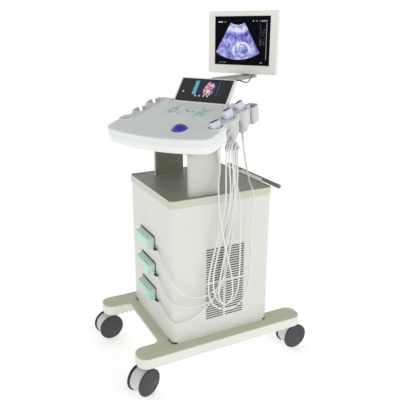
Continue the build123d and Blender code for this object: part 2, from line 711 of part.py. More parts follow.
# ---- probes ----------------------------------------------------------------------------------
def section(w, long_side, short_side, radius, shift=0.0):
    """Rounded section of a probe, its long side on y."""
    return Pos(shift, 0, w) * RectangleRounded(short_side, long_side, radius)


def probe_place(index):
    return (DECK * Pos(cup_u, cup_rows[index], probe_rests[index])
            * Rot(0, 0, probe_turns[index]))


def make_probe(index):
    """Probe handle with its moulded hollow strain relief, standing in its cup."""
    handle = loft([section(-82, 20, 20, 9.5), section(-52, 31, 27, 12), section(-10, 39, 27, 11),
                   section(11, 47, 26.5, 9), section(30, 48.5, 22, 7.5, -3), section(37, 46, 14, 5, -6)],
                  ruled=True)
    relief = Pos(0, 0, -111) * Cone(4.9, 7.6, 58)
    bore = rod(cable_diameter / 2 + 0.25, -141, -84)
    body = handle + relief - bore
    return probe_place(index) * (body - Pos(-6, 0, 35.5) * Box(lens_wide, lens_long, 6))


def make_probe_lens(index):
    """Rubber lens set in the top of the head."""
    lens = Pos(-6, 0, 36) * Box(lens_wide, lens_long, 7)
    return probe_place(index) * fillet(lens.edges().group_by(Axis.Z)[-1], 2)


# ---- cables ----------------------------------------------------------------------------------
# Route corners from the cabinet's centre.  Each probe cable leaves its plug, wraps the cabinet's
# front right edge, sags across the grille, climbs over the saddle, hangs in a loop and ends in
# the hollow strain relief of its probe.
probe_cable_routes = (
    [(-256.5, -73, 588), (-256.5, -116, 588), (-260, -170, 562), (-262, -219, 535), (-254, -260, 500),
     (-226, -275, 457), (-190, -277, 425), (-142, -277, 409), (-92, -277, 408), (-47, -277, 425),
     (-14, -277, 470), (8, -276, 540), (19, -278, 622), (29, -276, 706), (39, -278, 788),
     (47, -272, 866), (55, -262, 940), (59, -252, 1008), (59, -248, 1079), (13, -276, 1079),
     (15, -281, 1005), (23, -294, 918), (20, -304, 835), (6, -308, 752), (-11, -307, 672),
     (-28, -309, 592), (-44, -307, 515), (-53, -309, 450), (-52, -307, 400), (-33, -309, 364),
     (-4, -307, 362), (16, -309, 394), (18, -307, 450), (4, -309, 522), (-14, -307, 596),
     (-31, -308, 668), (-45, -306, 740), (-52, -300, 812), (-48, -284, 871), (-35, -258, 921),
     (-10.7, -232, 962), (-29.1, -243.1, 1049.4)],
    [(-256.5, -73, 460), (-256.5, -114, 460), (-260, -166, 433), (-262, -214, 412), (-254, -256, 393),
     (-218, -267, 377), (-172, -268, 365), (-124, -267, 361), (-79, -269, 369), (-38, -267, 395),
     (-9, -269, 452), (9, -267, 527), (18, -269, 608), (26, -267, 692), (35, -268, 776),
     (43, -264, 856), (50, -254, 932), (54, -244, 1006), (54, -240, 1079), (8, -268, 1079),
     (5, -273, 1005), (7, -286, 924), (4, -295, 842), (-13, -298, 757), (-38, -297, 672),
     (-61, -299, 588), (-76, -297, 508), (-74, -299, 436), (-53, -297, 380), (-12, -299, 353),
     (28, -297, 367), (50, -299, 415), (55, -297, 492), (56, -299, 576), (55, -297, 660),
     (53, -298, 744), (54, -291, 820), (60, -265, 869), (70, -219, 896), (80, -186, 941),
     (77.5, -179, 987.2), (57.1, -191.3, 1084.4)],
    [(-256.5, -73, 330), (-256.5, -118, 330), (-260, -168, 322), (-262, -214, 308), (-254, -252, 297),
     (-220, -260, 287), (-172, -259, 293), (-125, -261, 315), (-86, -259, 342), (-53, -261, 375),
     (-32, -259, 422), (-16, -261, 488), (-3, -259, 562), (8, -261, 642), (18, -259, 725),
     (27, -260, 806), (36, -257, 882), (43, -247, 952), (48, -236, 1018), (49, -231, 1079),
     (3, -259, 1079), (-4, -265, 1005), (-9, -276, 925), (-12, -285, 844), (-28, -288, 760),
     (-50, -287, 676), (-72, -289, 594), (-90, -287, 512), (-96, -289, 437), (-82, -287, 376),
     (-42, -289, 335), (12, -287, 318), (66, -289, 331), (101, -287, 381), (115, -289, 456),
     (119, -287, 545), (119, -289, 634), (118, -287, 723), (120, -288, 792), (126, -280, 846),
     (134, -252, 872), (154, -206, 868), (176, -160, 876), (185, -128, 910), (179, -119, 961),
     (164.9, -126.5, 1012.3), (145.5, -138.2, 1104.5)],
)
# The signal lead leaves the arm's side, droops and enters the monitor's column; from the swivel
# axis of the console, in its own turned frame.
signal_route = [(77, 345, 1289), (94, 345, 1289), (105, 358, 1283), (107, 384, 1277), (102, 420, 1276),
                (90, 456, 1283), (78, 490, 1292), (70, 524, 1297), (65, 554, 1298), (64, 582, 1308),
                (66, 604, 1342), (30, 604, 1342)]


def cord(points, diameter, name):
    """Tube along straight runs joined by arcs as large as the runs allow."""
    corners = [Vector(*p) for p in points]
    runs = [(b - a).length for a, b in zip(corners, corners[1:])]
    radii = []
    for k in range(1, len(corners) - 1):
        turn = (corners[k] - corners[k - 1]).get_angle(corners[k + 1] - corners[k])
        radii.append(0.45 * min(runs[k - 1], runs[k]) / math.tan(math.radians(turn / 2)))
    path = FilletPolyline(*points, radius=radii)
    tube = sweep(Plane(origin=path @ 0, z_dir=path % 0) * Circle(diameter / 2), path=path)
    expected = math.pi * diameter ** 2 / 4 * path.length
    print(name, "length", round(path.length), "volume ratio", round(tube.volume / expected, 4),
          "longest run", round(max(runs)), "radii", [round(r) for r in radii])
    return tube


# ---- write all nodes -------------------------------------------------------------------------
save(CABINET * make_base_beams(), "base_beams")
save(CABINET * make_platform_plate(), "platform_plate")
save(CABINET * make_castor_stems(), "castor_stems")
for k in range(4):
    save(make_castor_hood(k), f"castor_hood_{k + 1}")
    save(make_castor_wheels(k), f"castor_wheels_{k + 1}")
save(CABINET * make_cabinet_shell(), "cabinet_shell")
save(CABINET * make_vent_filter(), "vent_filter")
save(CABINET * make_fan_housing(), "fan_housing")
save(CABINET * make_fan_rotor(), "fan_rotor")
save(CABINET * make_power_supply(), "power_supply")
save(CABINET * make_card_cage(), "card_cage")
save(CABINET * make_probe_ports(), "probe_ports")
save(CABINET * make_probe_connectors(), "probe_connectors")
save(CABINET * make_rear_panel(), "rear_panel")
save(CABINET * make_panel_screws(), "panel_screws")
save(CABINET * make_mains_inlet(), "mains_inlet")
save(CABINET * make_power_switch(), "power_switch")
save(CABINET * make_top_tray(), "top_tray")
save(CABINET * make_corner_pads(), "corner_pads")
save(CABINET * make_rear_handle(), "rear_handle")
save(CABINET * make_handle_bracket(), "handle_bracket")
save(CABINET * make_support_posts(), "support_posts")
save(CABINET * make_pivot_bridge(), "pivot_bridge")
save(make_pivot_column(), "pivot_column")
save(make_console_top_shell(), "console_top_shell")
save(make_console_base_shell(), "console_base_shell")
save(make_holder_wing_right(), "holder_wing_right")
save(make_holder_wing_left(), "holder_wing_left")
save(make_keypad_overlay(), "keypad_overlay")
save(make_trackball_ring(), "trackball_ring")
save(make_trackball(), "trackball")
save(make_cable_hook(), "cable_hook")
save(make_lcd_housing(), "lcd_housing")
save(make_lcd_glass(), "lcd_glass")
for k, (u, z) in enumerate(lcd_button_places):
    save(make_lcd_button(u, z), f"lcd_button_{k + 1}")
save(make_display_arm(), "display_arm")
save(make_monitor_yoke(), "monitor_yoke")
save(make_monitor_back(), "monitor_back")
save(make_monitor_bezel(), "monitor_bezel")
save(make_monitor_screen(), "monitor_screen")
for k in range(len(cup_rows)):
    save(make_probe(k), f"probe_{k + 1}")
    save(make_probe_lens(k), f"probe_lens_{k + 1}")
for k, route in enumerate(probe_cable_routes):
    save(CABINET * cord(route, cable_diameter, f"probe_cable_{k + 1}"), f"probe_cable_{k + 1}")
save(CONSOLE * cord(signal_route, signal_diameter, "monitor_cable"), "monitor_cable")
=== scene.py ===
"""Looks of a cart-type ultrasound machine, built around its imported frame."""
import math

import bmesh
import bpy
from mathutils import Matrix, Vector


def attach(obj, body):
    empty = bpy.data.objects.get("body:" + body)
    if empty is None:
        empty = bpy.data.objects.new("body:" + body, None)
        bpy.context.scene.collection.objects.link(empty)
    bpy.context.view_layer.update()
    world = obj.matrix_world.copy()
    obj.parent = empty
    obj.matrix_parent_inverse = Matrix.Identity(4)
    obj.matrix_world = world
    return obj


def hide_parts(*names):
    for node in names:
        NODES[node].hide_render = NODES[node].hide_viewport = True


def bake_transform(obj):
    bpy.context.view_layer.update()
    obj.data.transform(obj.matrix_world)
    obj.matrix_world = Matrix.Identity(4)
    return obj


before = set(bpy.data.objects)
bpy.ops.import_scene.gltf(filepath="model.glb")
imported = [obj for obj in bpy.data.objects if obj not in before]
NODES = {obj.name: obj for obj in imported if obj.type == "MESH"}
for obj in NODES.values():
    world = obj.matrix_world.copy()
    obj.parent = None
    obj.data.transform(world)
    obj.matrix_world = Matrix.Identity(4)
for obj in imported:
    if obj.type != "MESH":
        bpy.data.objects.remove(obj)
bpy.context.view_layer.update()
scene = bpy.context.scene
MM = 0.001


# ---- places: the same local frames as the CAD source, in metres ------------------------------
def place(x, y, z, axis="Z", degrees=0.0):
    """Shift given in millimetres, then a turn about one axis."""
    return Matrix.Translation((x * MM, y * MM, z * MM)) @ Matrix.Rotation(math.radians(degrees), 4, axis)


CABINET = place(-13.5, -60.7, 0)
CONSOLE = CABINET @ place(-75, 0, 0, "Z", -59)
DECK = CONSOLE @ place(0, 0, 1169.3, "X", 13.8)
LCD = CONSOLE @ place(0, 137.7, 1191.5, "X", -38.4)
MONITOR = CONSOLE @ place(0, 531, 1456)
CASTORS = [((-1, -1), 204), ((-1, 1), 187), ((1, -1), 1), ((1, 1), 12)]
CUP_U, CUP_ROWS = 232, (-112, -6, 99)
PROBE_TURNS, PROBE_RESTS = (-15, -9, -3), (-10, 0, -5)


# ---- camera ----------------------------------------------------------------------------------
camera_data = bpy.data.cameras.new("camera")
camera_data.sensor_width = 36
camera_data.lens = 45.97
camera = bpy.data.objects.new("camera", camera_data)
camera.location = (-1.0350, -2.1097, 1.5128)
look_along = Vector((0.4266, 0.8482, -0.3142))
roll = Matrix.Rotation(math.radians(0.11), 4, "Z")
camera.matrix_world = (Matrix.Translation(camera.location)
                       @ look_along.to_track_quat("-Z", "Y").to_matrix().to_4x4() @ roll)
scene.collection.objects.link(camera)
scene.camera = camera


# ---- material tools --------------------------------------------------------------------------
class Value:
    """A number or socket of a material's node tree; arithmetic on it adds Math nodes."""

    def __init__(self, tree, source):
        self.tree, self.source = tree, source

    def op(self, kind, *others, clamp=False):
        node = self.tree.nodes.new("ShaderNodeMath")
        node.operation = kind
        node.use_clamp = clamp
        for k, item in enumerate((self,) + others):
            item = item.source if isinstance(item, Value) else item
            if isinstance(item, (int, float)):
                node.inputs[k].default_value = item
            else:
                self.tree.links.new(item, node.inputs[k])
        return Value(self.tree, node.outputs[0])

    def __add__(self, other):
        return self.op("ADD", other)

    def __sub__(self, other):
        return self.op("SUBTRACT", other)

    def __mul__(self, other):
        return self.op("MULTIPLY", other)

    def step(self, low, high):
        """0 below low, 1 above high, smooth between."""
        node = self.tree.nodes.new("ShaderNodeMapRange")
        node.interpolation_type = "SMOOTHSTEP"
        node.inputs["From Min"].default_value = low
        node.inputs["From Max"].default_value = high
        self.tree.links.new(self.source, node.inputs["Value"])
        return Value(self.tree, node.outputs["Result"])

    def inside(self, low, high, soft):
        """1 between low and high, with soft edges."""
        return self.step(low - soft, low + soft) * (self.step(high - soft, high + soft) * -1 + 1)


class Look:
    """A procedural material under construction."""

    def __init__(self, name, colour, roughness, metallic=0.0, coat=0.0):
        self.material = bpy.data.materials.new(name)
        self.material.use_nodes = True
        self.tree = self.material.node_tree
        self.shader = self.tree.nodes["Principled BSDF"]
        self.shader.inputs["Metallic"].default_value = metallic
        self.shader.inputs["Coat Weight"].default_value = coat
        self.shader.inputs["Roughness"].default_value = roughness
        self.coords = self.node("ShaderNodeTexCoord")
        self.colour = self.rgb(colour)
        self.bumps = []

    def node(self, kind, **settings):
        made = self.tree.nodes.new(kind)
        for key, value in settings.items():
            setattr(made, key, value)
        return made

    def link(self, source, target):
        self.tree.links.new(source.source if isinstance(source, Value) else source, target)

    def rgb(self, colour):
        made = self.node("ShaderNodeRGB")
        made.outputs[0].default_value = (*colour, 1)
        return made.outputs[0]

    def mix(self, factor, first, second, blend="MIX"):
        made = self.node("ShaderNodeMix", data_type="RGBA", blend_type=blend)
        self.link(factor, made.inputs[0])
        self.link(first, made.inputs[6])
        self.link(second, made.inputs[7])
        return made.outputs[2]

    def noise(self, scale, detail=3.0, stretch=None, vector=None, distortion=0.0):
        made = self.node("ShaderNodeTexNoise")
        made.inputs["Scale"].default_value = scale
        made.inputs["Detail"].default_value = detail
        made.inputs["Distortion"].default_value = distortion
        source = vector or self.coords.outputs["Object"]
        if stretch:
            mapping = self.node("ShaderNodeMapping")
            mapping.inputs["Scale"].default_value = stretch
            self.link(source, mapping.inputs["Vector"])
            source = mapping.outputs[0]
        self.link(source, made.inputs["Vector"])
        return Value(self.tree, made.outputs["Fac"])

    def tint(self, factor, colour):
        """Move the colour towards another where factor is 1."""
        self.colour = self.mix(factor, self.colour, self.rgb(colour))
        return self

    def mottle(self, scale, amount):
        """Slow change of lightness over the surface."""
        cloud = self.noise(scale, 4).step(0.3, 0.7)
        dark = self.rgb((1 - amount, 1 - amount, 1 - amount * 1.15))
        self.colour = self.mix(cloud, self.mix(Value(self.tree, 1.0).op("ADD", 0), self.colour, dark,
                                               "MULTIPLY"), self.colour)
        return self

    def grain(self, scale, height, detail=2.0, stretch=None):
        """Fine relief of the surface; height in metres."""
        self.bumps.append((self.noise(scale, detail, stretch), height))
        return self

    def gloss(self, scale, low, high):
        """Roughness that drifts between two values."""
        drift = self.noise(scale, 3).step(0.25, 0.75)
        self.link(drift * (high - low) + low, self.shader.inputs["Roughness"])
        return self

    def darken_near_floor(self, height, amount, colour=(0.42, 0.40, 0.36)):
        """Patchy darker colour that fades out with height above the floor, in metres."""
        split = self.node("ShaderNodeSeparateXYZ")
        self.link(self.coords.outputs["Object"], split.inputs[0])
        fade = Value(self.tree, split.outputs["Z"]).step(0.0, height) * -1 + 1
        return self.tint(fade * self.noise(60, 4).step(0.35, 0.75) * amount, colour)

    def facing(self, direction, low=0.80, high=0.93):
        """1 where the surface faces a direction at rest, in the piece's own space."""
        made = self.node("ShaderNodeVectorMath", operation="DOT_PRODUCT")
        self.link(self.coords.outputs["Normal"], made.inputs[0])
        made.inputs[1].default_value = direction
        return Value(self.tree, made.outputs["Value"]).step(low, high)

    def local(self, frame_of):
        """The three coordinates of a surface point in a local frame, in millimetres."""
        inverse = frame_of.inverted()
        values = []
        for row in range(3):
            made = self.node("ShaderNodeVectorMath", operation="DOT_PRODUCT")
            self.link(self.coords.outputs["Object"], made.inputs[0])
            made.inputs[1].default_value = [inverse[row][k] * 1000 for k in range(3)]
            values.append(Value(self.tree, made.outputs["Value"]) + inverse[row][3] * 1000)
        return values

    def emit(self, colour, strength):
        self.link(colour, self.shader.inputs["Emission Color"])
        self.shader.inputs["Emission Strength"].default_value = strength
        return self

    def done(self):
        self.link(self.colour, self.shader.inputs["Base Color"])
        normal = None
        for height, metres in self.bumps:
            bump = self.node("ShaderNodeBump")
            bump.inputs["Distance"].default_value = metres
            bump.inputs["Strength"].default_value = 1.0
            self.link(height, bump.inputs["Height"])
            if normal:
                self.link(normal, bump.inputs["Normal"])
            normal = bump.outputs[0]
        if normal:
            self.link(normal, self.shader.inputs["Normal"])
        return self.material


def plastic(name, colour, low=0.38, high=0.5, grain=1400, height=0.00006, mottle=0.03, coat=0.0):
    """Moulded plastic: spark-eroded grain, slow mottle and uneven gloss."""
    look = Look(name, colour, low, coat=coat)
    return look.mottle(5, mottle).grain(grain, height).grain(35, height * 3, 1).gloss(22, low, high)


def paint(name, colour, low=0.32, high=0.45, mottle=0.03):
    """Sprayed paint with a light orange peel."""
    look = Look(name, colour, low)
    return look.mottle(4, mottle).grain(420, 0.00008, 1).grain(2500, 0.00002).gloss(14, low, high)


# ---- materials -------------------------------------------------------------------------------
DECK_UP = tuple((DECK.to_3x3() @ Vector((0, 0, 1))).normalized())
UP = (0, 0, 1)
# colour of the painted shade on the tray's top
TOP_SHADE_OLIVE = (0.235, 0.235, 0.185)

LOOKS = {}
LOOKS["cream_paint"] = paint("cream_paint", (0.74, 0.74, 0.69)).darken_near_floor(0.35, 0.35).done()
beam = paint("beam_paint", (0.80, 0.80, 0.74))
# painted shade: the beams' upward faces are tinted darker olive, as light falls less on them
LOOKS["beam_paint"] = beam.tint(beam.facing(UP), (0.55, 0.56, 0.42)).darken_near_floor(0.2, 0.3).done()
plate = paint("plate_paint", (0.72, 0.72, 0.64))
# painted shade: the plate's upward faces are tinted darker olive, as light falls less on them
LOOKS["plate_paint"] = plate.tint(plate.facing(UP), (0.57, 0.58, 0.45)).darken_near_floor(0.2, 0.3).done()
LOOKS["post_paint"] = paint("post_paint", (0.60, 0.60, 0.54)).done()
posts = paint("support_paint", (0.60, 0.60, 0.54))
# painted shade: the left post's inner, -Y facing face is tinted dark olive where shade falls on it
_, post_y, _ = posts.local(CABINET)
painted_shade_mask = post_y.inside(100, 300, 2) * posts.facing((0, -1, 0), 0.2, 0.6)
LOOKS["support_paint"] = posts.tint(painted_shade_mask, (0.17, 0.18, 0.13)).done()
tray = plastic("tray_plastic", (0.62, 0.62, 0.52))
# painted shade: the tray's upward faces are tinted dark olive, as light falls less on them
LOOKS["tray_plastic"] = tray.tint(tray.facing(UP, 0.9, 0.99), TOP_SHADE_OLIVE).done()
LOOKS["white_plastic"] = plastic("white_plastic", (0.84, 0.86, 0.84)).done()
deck = plastic("deck_plastic", (0.78, 0.80, 0.80))
# painted shade: the deck's top face is tinted a little darker than its sides, as it is lit less
LOOKS["deck_plastic"] = deck.tint(deck.facing(DECK_UP, 0.86, 0.99), (0.71, 0.75, 0.74)).done()
LOOKS["grey_plastic"] = plastic("grey_plastic", (0.40, 0.40, 0.37)).done()
LOOKS["holder_plastic"] = plastic("holder_plastic", (0.62, 0.64, 0.63)).done()
LOOKS["bezel_plastic"] = plastic("bezel_plastic", (0.82, 0.82, 0.76)).done()
LOOKS["castor_plastic"] = plastic("castor_plastic", (0.66, 0.67, 0.66)).darken_near_floor(0.12, 0.5).done()
LOOKS["charcoal_tyre"] = plastic("charcoal_tyre", (0.035, 0.034, 0.040), 0.36, 0.5).darken_near_floor(0.1, 0.12).done()
LOOKS["black_rubber"] = plastic("black_rubber", (0.02, 0.02, 0.02), 0.6, 0.75).done()
LOOKS["dark_plastic"] = plastic("dark_plastic", (0.03, 0.032, 0.03), 0.35, 0.5).done()
LOOKS["dark_olive"] = plastic("dark_olive", (0.17, 0.17, 0.12), 0.3, 0.4).done()
LOOKS["mint_plastic"] = plastic("mint_plastic", (0.56, 0.78, 0.66), 0.35, 0.5, mottle=0.05).done()
LOOKS["lavender_plastic"] = plastic("lavender_plastic", (0.66, 0.70, 0.88), 0.15, 0.25, coat=0.4).done()
LOOKS["ball_blue"] = plastic("ball_blue", (0.012, 0.025, 0.36), 0.12, 0.2, height=0.00001, coat=0.5).done()
LOOKS["navy_rubber"] = plastic("navy_rubber", (0.012, 0.014, 0.085), 0.3, 0.45).done()
LOOKS["probe_plastic"] = plastic("probe_plastic", (0.70, 0.72, 0.84), 0.22, 0.34, coat=0.2).done()
LOOKS["white_cable"] = plastic("white_cable", (0.82, 0.82, 0.80), 0.4, 0.55, grain=900).done()
LOOKS["grey_cable"] = plastic("grey_cable", (0.06, 0.06, 0.06), 0.4, 0.55, grain=900).done()
LOOKS["key_teal"] = plastic("key_teal", (0.36, 0.60, 0.60), 0.35, 0.5).done()
LOOKS["key_pale"] = plastic("key_pale", (0.72, 0.79, 0.79), 0.35, 0.5).done()
LOOKS["key_dark"] = plastic("key_dark", (0.05, 0.07, 0.09), 0.35, 0.5).done()
zinc = Look("zinc", (0.55, 0.56, 0.57), 0.35, 0.9)
LOOKS["zinc"] = zinc.mottle(90, 0.15).grain(300, 0.00004).gloss(60, 0.28, 0.45).done()
steel = Look("steel", (0.62, 0.62, 0.61), 0.3, 1.0)
LOOKS["steel"] = steel.mottle(20, 0.08).grain(60, 0.00003, 2, (1, 1, 40)).gloss(40, 0.22, 0.4).done()
foam = Look("filter_foam", (0.012, 0.012, 0.012), 0.9)
LOOKS["filter_foam"] = foam.mottle(300, 0.4).grain(700, 0.0008, 3).done()
board = Look("circuit_board", (0.02, 0.13, 0.05), 0.35)
tracks = board.noise(140, 1, (1, 0.1, 1)).inside(0.49, 0.53, 0.004)
LOOKS["circuit_board"] = board.tint(tracks, (0.28, 0.30, 0.12)).grain(200, 0.0002).done()
film = plastic("keypad_film", (0.66, 0.71, 0.70), 0.26, 0.36, height=0.00002)
LOOKS["keypad_film"] = film.tint(film.noise(26, 2).inside(0.50, 0.62, 0.02) * 0.4, (0.52, 0.64, 0.64)).done()


def screen_look():
    """Black glass of the monitor with a sector scan, a grey scale and generic marks."""
    look = Look("monitor_glass", (0.002, 0.002, 0.003), 0.12)
    look.shader.inputs["Specular IOR Level"].default_value = 0.03
    u, _, z = look.local(MONITOR)
    apex_u, apex_z = -26.0, 164.0
    du, dz = u - apex_u, (z * -1) + apex_z
    radius = (du * du + dz * dz).op("SQRT")
    angle = du.op("ARCTAN2", dz)
    sector = radius.inside(78, 247, 1.0) * angle.op("ABSOLUTE").inside(-1, 0.535, 0.004)
    polar = look.node("ShaderNodeCombineXYZ")
    look.link(radius * 0.016, polar.inputs[0])
    look.link(angle * 3.2, polar.inputs[1])
    tissue = look.noise(2.0, 5, None, polar.outputs[0], 0.9)
    speckle = look.noise(14, 4, (1.6, 0.7, 1), polar.outputs[0])
    # a pale layer near the apex, a darker layer below it, and soft broken rings
    near = radius.inside(95, 114, 14) * 0.5 + radius.inside(78, 82, 2) * 0.3
    dark = radius.inside(128, 146, 14) * 0.22
    rings = None
    for cu, cz, r, thick, bright in ((8, -28, 33, 4.0, 0.5), (-10, -24, 11, 3.0, 0.4),
                                     (-62, 14, 15, 3.0, 0.3), (-2, -40, 42, 9.0, 0.3)):
        a, b = u - cu, z - cz
        distance = (a * a + b * b * 1.35).op("SQRT") + speckle * 16 - 8
        ring = distance.inside(r, r + thick, thick * 0.6) * bright
        rings = ring if rings is None else rings + ring
    glow = tissue.step(0.30, 0.74) * 0.5 + near + rings - dark + speckle * 0.42 + 0.10
    ramp = look.node("ShaderNodeValToRGB")
    ramp.color_ramp.elements[0].color = (0.002, 0.002, 0.01, 1)
    ramp.color_ramp.elements[1].color = (0.82, 0.84, 0.98, 1)
    for stop, colour in ((0.22, (0.075, 0.07, 0.34, 1)), (0.5, (0.25, 0.26, 0.68, 1)),
                         (0.75, (0.5, 0.52, 0.86, 1))):
        ramp.color_ramp.elements.new(stop).color = colour
    look.link(glow.op("ADD", 0, clamp=True), ramp.inputs[0])
    # scale bar, ticks and rows of short dashes
    ticks = (z * (1 / 11.0)).op("FRACT").inside(0.4, 0.62, 0.05)
    rows = (z * (1 / 7.5)).op("FRACT").inside(0.3, 0.62, 0.06)
    dash = look.noise(420, 1, (1, 1, 0.05)).inside(0.52, 1.0, 0.02)
    marks = u.inside(134, 137, 0.6) * z.inside(-80, 95, 2) * 0.5
    marks = marks + u.inside(117, 124, 1) * z.inside(-15, 70, 1) * ticks * dash * 0.8
    marks = marks + u.inside(98, 108, 1) * z.inside(-15, 92, 1) * rows * dash * 0.55
    marks = marks + u.inside(95, 140, 1) * z.inside(100, 108, 0.5) * dash * 0.5
    marks = marks + u.inside(-138, -112, 1) * z.inside(98, 104, 0.8) * 0.75
    marks = marks + u.inside(-106, -90, 1) * z.inside(98.5, 103, 0.8) * dash * 0.6
    marks = marks + u.inside(58, 84, 1) * z.inside(101, 108, 0.8) * dash * 0.8
    marks = marks + u.inside(-138, -90, 1) * z.inside(-100, -95, 0.8) * dash * 0.5
    marks = marks + u.inside(104, 116, 1) * z.inside(-98, -93, 0.8) * 0.4
    shown = look.mix(sector, look.rgb((0.001, 0.001, 0.002)), ramp.outputs[0])
    shown = look.mix(marks, shown, look.rgb((0.7, 0.72, 0.78)))
    look.emit(shown, 0.95).grain(60, 0.00002, 1).gloss(9, 0.09, 0.16)
    return look.done()


def touch_look():
    """Dark glass of the touch panel with a strip of settings and a soft pink volume picture."""
    look = Look("touch_glass", (0.016, 0.016, 0.017), 0.16)
    look.shader.inputs["Specular IOR Level"].default_value = 0.3
    u, _, z = look.local(LCD)
    strip = u.inside(-58, -38, 0.8) * z.inside(44, 118, 0.8)
    rows = (z * (1 / 9.5)).op("FRACT").inside(0.12, 0.9, 0.06)
    field = u.inside(-30, 74, 1.5) * z.inside(42, 119, 1.5)
    blob_u = (u - 25) * (1 / 30.0)
    blob_z = (z - 77) * (1 / 42.0)
    wobble = look.noise(45, 3)
    blob = (blob_u * blob_u + blob_z * blob_z + (wobble - 0.5) * 1.3).step(0.62, 1.0) * -1 + 1
    folds = look.noise(75, 4, None, None, 1.1)
    ramp = look.node("ShaderNodeValToRGB")
    ramp.color_ramp.elements[0].color = (0.10, 0.02, 0.06, 1)
    ramp.color_ramp.elements[1].color = (0.98, 0.80, 0.86, 1)
    ramp.color_ramp.elements.new(0.5).color = (0.62, 0.28, 0.46, 1)
    look.link(folds.step(0.32, 0.66), ramp.inputs[0])
    specks = look.noise(160, 2).step(0.58, 0.7) * 0.5
    shown = look.mix(field, look.rgb((0.010, 0.010, 0.011)), look.rgb((0.006, 0.009, 0.035)))
    shown = look.mix(field * specks, shown, look.rgb((0.05, 0.09, 0.22)))
    shown = look.mix(field * blob, shown, ramp.outputs[0])
    shown = look.mix(strip * (rows * 0.55 + 0.45), shown, look.rgb((0.10, 0.50, 0.60)))
    edge = u.inside(72, 74, 0.6) * z.inside(42, 119, 1.0) + u.inside(90, 93, 1) * z.inside(40, 118, 1) * 0.25
    shown = look.mix(edge * 0.35, shown, look.rgb((0.35, 0.45, 0.60)))
    look.emit(shown, 0.9).grain(60, 0.00002, 1).gloss(9, 0.12, 0.2)
    return look.done()


LOOKS["monitor_glass"] = screen_look()
LOOKS["touch_glass"] = touch_look()


# ---- carried-over CAD nodes ------------------------------------------------------------------
NODE_LOOKS = {
    "cream_paint": ["cabinet_shell", "rear_panel", "handle_bracket"],
    "beam_paint": ["base_beams"],
    "plate_paint": ["platform_plate"],
    "post_paint": ["pivot_bridge", "pivot_column"],
    "support_paint": ["support_posts"],
    "tray_plastic": ["top_tray"],
    "white_plastic": ["console_base_shell", "lcd_button_1", "lcd_button_2", "lcd_button_3",
                      "lcd_button_4", "lcd_button_5"],
    "deck_plastic": ["console_top_shell"],
    "holder_plastic": ["holder_wing_left", "holder_wing_right", "cable_hook"],
    "grey_plastic": ["display_arm", "monitor_yoke"],
    "bezel_plastic": ["lcd_housing", "monitor_back", "monitor_bezel"],
    "castor_plastic": ["castor_hood_1", "castor_hood_2", "castor_hood_3", "castor_hood_4"],
    "charcoal_tyre": ["castor_wheels_1", "castor_wheels_2", "castor_wheels_3", "castor_wheels_4"],
    # black rubber bumpers at the cabinet's lower corners; their black also stands in for painted shade in the
    # gap at these corners
    "black_rubber": ["corner_pads"],
    "dark_plastic": ["fan_housing", "fan_rotor", "probe_ports", "mains_inlet", "power_switch"],
    "dark_olive": ["rear_handle"],
    "mint_plastic": ["probe_connectors"],
    "lavender_plastic": ["trackball_ring"],
    "ball_blue": ["trackball"],
    "navy_rubber": ["probe_lens_1", "probe_lens_2", "probe_lens_3"],
    "probe_plastic": ["probe_1", "probe_2", "probe_3"],
    "white_cable": ["probe_cable_1", "probe_cable_2", "probe_cable_3"],
    "grey_cable": ["monitor_cable"],
    "zinc": ["power_supply", "panel_screws"],
    "steel": ["castor_stems"],
    "filter_foam": ["vent_filter"],
    "circuit_board": ["card_cage"],
    "keypad_film": ["keypad_overlay"],
    "monitor_glass": ["monitor_screen"],
    "touch_glass": ["lcd_glass"],
}
for look, names in NODE_LOOKS.items():
    for name in names:
        if name not in NODES:
            continue
        shown = NODES[name]
        if not shown.material_slots:
            shown.data.materials.append(LOOKS[look])
        for place_in in shown.material_slots:
            place_in.material = LOOKS[look]


# ---- mesh tools ------------------------------------------------------------------------------
def piece(name, mesh, frame_of, body, look, node=None, smooth=True):
    """Object from a bmesh in millimetres of a local frame, riding on a body."""
    bmesh.ops.recalc_face_normals(mesh, faces=mesh.faces)
    data = bpy.data.meshes.new(name)
    mesh.to_mesh(data)
    mesh.free()
    data.transform(frame_of @ Matrix.Scale(MM, 4))
    if smooth:
        data.shade_smooth()
    data.materials.append(LOOKS[look])
    made = bpy.data.objects.new(name, data)
    scene.collection.objects.link(made)
    if body:
        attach(made, body)
    if node:
        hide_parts(*([node] if isinstance(node, str) else node))
    return made


def rounded(width, height, radius, steps=6):
    """Corner points of a rounded rectangle, round its middle."""
    points = []
    for cx, cy, start in ((1, 1, 0), (-1, 1, 90), (-1, -1, 180), (1, -1, 270)):
        for k in range(steps + 1):
            a = math.radians(start + 90 * k / steps)
            points.append((cx * (width / 2 - radius) + radius * math.cos(a),
                           cy * (height / 2 - radius) + radius * math.sin(a)))
    return points


def loft(mesh, rings, closed=True):
    """Skin over rings of equally many points; the ends are capped unless closed is false."""
    made = [[mesh.verts.new(p) for p in ring] for ring in rings]
    count = len(made[0])
    for low, high in zip(made, made[1:]):
        for k in range(count):
            mesh.faces.new((low[k], low[(k + 1) % count], high[(k + 1) % count], high[k]))
    if closed:
        mesh.faces.new(list(reversed(made[0])))
        mesh.faces.new(made[-1])
    return made


def lathe(mesh, profile, sides=64, axis="Y"):
    """Revolve (radius, along) pairs about an axis; ends of zero radius close to a point."""
    rings = []
    for radius, along in profile:
        ring = []
        for k in range(sides):
            a = 2 * math.pi * k / sides
            x, z = radius * math.cos(a), radius * math.sin(a)
            ring.append((x, along, z) if axis == "Y" else (x, z, along))
        rings.append(ring)
    loft(mesh, rings)
    bmesh.ops.remove_doubles(mesh, verts=mesh.verts, dist=1e-4)


